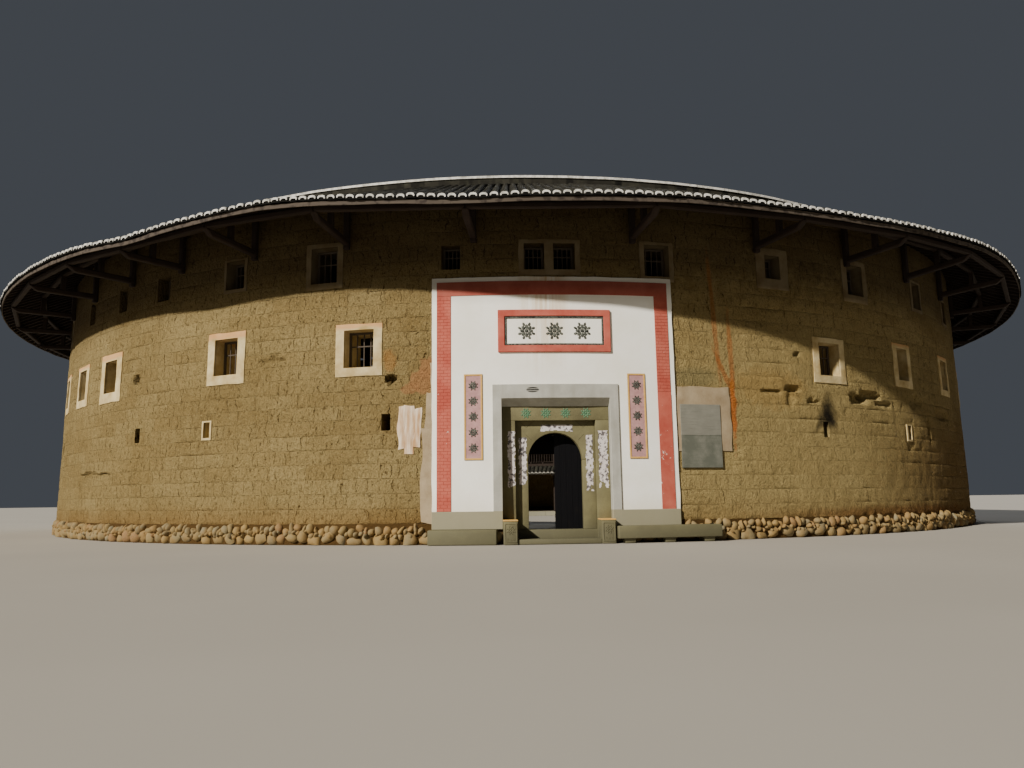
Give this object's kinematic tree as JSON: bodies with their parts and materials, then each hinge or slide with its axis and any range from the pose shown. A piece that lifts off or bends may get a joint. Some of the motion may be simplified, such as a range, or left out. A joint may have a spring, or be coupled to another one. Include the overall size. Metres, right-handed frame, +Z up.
{
  "type": "tulou roundhouse, 1:2 scale model",
  "caption": "Round rammed-earth tulou with a ring-shaped tiled roof, timber galleries round an open courtyard and a plastered stone gate with swinging door leaves, as a half-size model.",
  "frame": {"origin": "on the ground at the centre of the courtyard", "axes": "+Z up along the axis of the ring, the gate faces -Y, +X to the right of someone who faces the gate"},
  "size_m": [24.96, 24.96, 5.9097],
  "materials": {
    "rammed_earth": "rough, crumbly, in courses",
    "cobble": "rounded river stones in earth mortar",
    "tamped_floor": "worn, matt",
    "gate_stone": "dressed, worn",
    "cement": "trowelled, matt",
    "lime_plaster": "matt, slightly stained",
    "red_brick_band": "painted thin bricks, matt",
    "faded_red_plaster": "faded paint on plaster",
    "timber": "weathered, unpainted",
    "dark_timber": "dark worn paint",
    "roof_tile": "unglazed, weathered"
  },
  "bodies": {
    "house": {"earth_wall_1": "rammed_earth", "earth_wall_2": "rammed_earth", "earth_wall_3": "rammed_earth", "earth_wall_4": "rammed_earth", "earth_wall_5": "rammed_earth", "earth_wall_6": "rammed_earth", "earth_wall_7": "rammed_earth", "earth_wall_left_of_door": "rammed_earth", "earth_wall_right_of_door": "rammed_earth", "earth_wall_over_door": "rammed_earth", "cobble_footing_left": "cobble", "cobble_footing_right": "cobble", "ground_floor": "tamped_floor", "floor_2": "timber", "floor_3": "timber", "gallery_frame_front_right": "timber", "gallery_frame_back_right": "timber", "gallery_frame_back_left": "timber", "gallery_frame_front_left": "timber", "skirt_roof": "roof_tile", "roof_outer_right": "roof_tile", "roof_outer_left": "roof_tile", "roof_inner_right": "roof_tile", "roof_inner_left": "roof_tile", "ridge": "lime_plaster", "eave_frame_front_left": "timber", "eave_frame_front_right": "timber", "eave_frame_back_right": "timber", "eave_frame_back_left": "timber", "gate_panel": "lime_plaster", "gate_red_band": "red_brick_band", "tablet_frame": "red_brick_band", "tablet_board": "lime_plaster", "couplet_board_left": "faded_red_plaster", "couplet_board_right": "faded_red_plaster", "cement_surround_left": "cement", "cement_surround_right": "cement", "cement_surround_over": "cement", "cement_splay": "cement", "outer_jamb_left": "gate_stone", "outer_jamb_right": "gate_stone", "door_lintel": "gate_stone", "inner_jamb_left": "gate_stone", "inner_jamb_right": "gate_stone", "arch_head": "gate_stone", "sill_and_passage_floor": "gate_stone", "door_step": "gate_stone", "base_block_left": "gate_stone", "base_block_right": "gate_stone", "stone_ledge": "gate_stone", "stone_bench": "gate_stone", "pivot_beam": "timber", "notice_board": "cement"},
    "left_leaf": {"door_leaf_left": "dark_timber"},
    "right_leaf": {"door_leaf_right": "dark_timber"}
  },
  "joints": [
    {"name": "left_leaf_hinge", "type": "hinge", "parent": "house", "child": "left_leaf", "pos_m": [-0.47, -10.75, 0.18], "axis": [0, 0, -1], "range_deg": [0, 90]},
    {"name": "right_leaf_hinge", "type": "hinge", "parent": "house", "child": "right_leaf", "pos_m": [0.47, -10.75, 0.18], "axis": [0, 0, -1], "range_deg": [0, 90]}
  ]
}
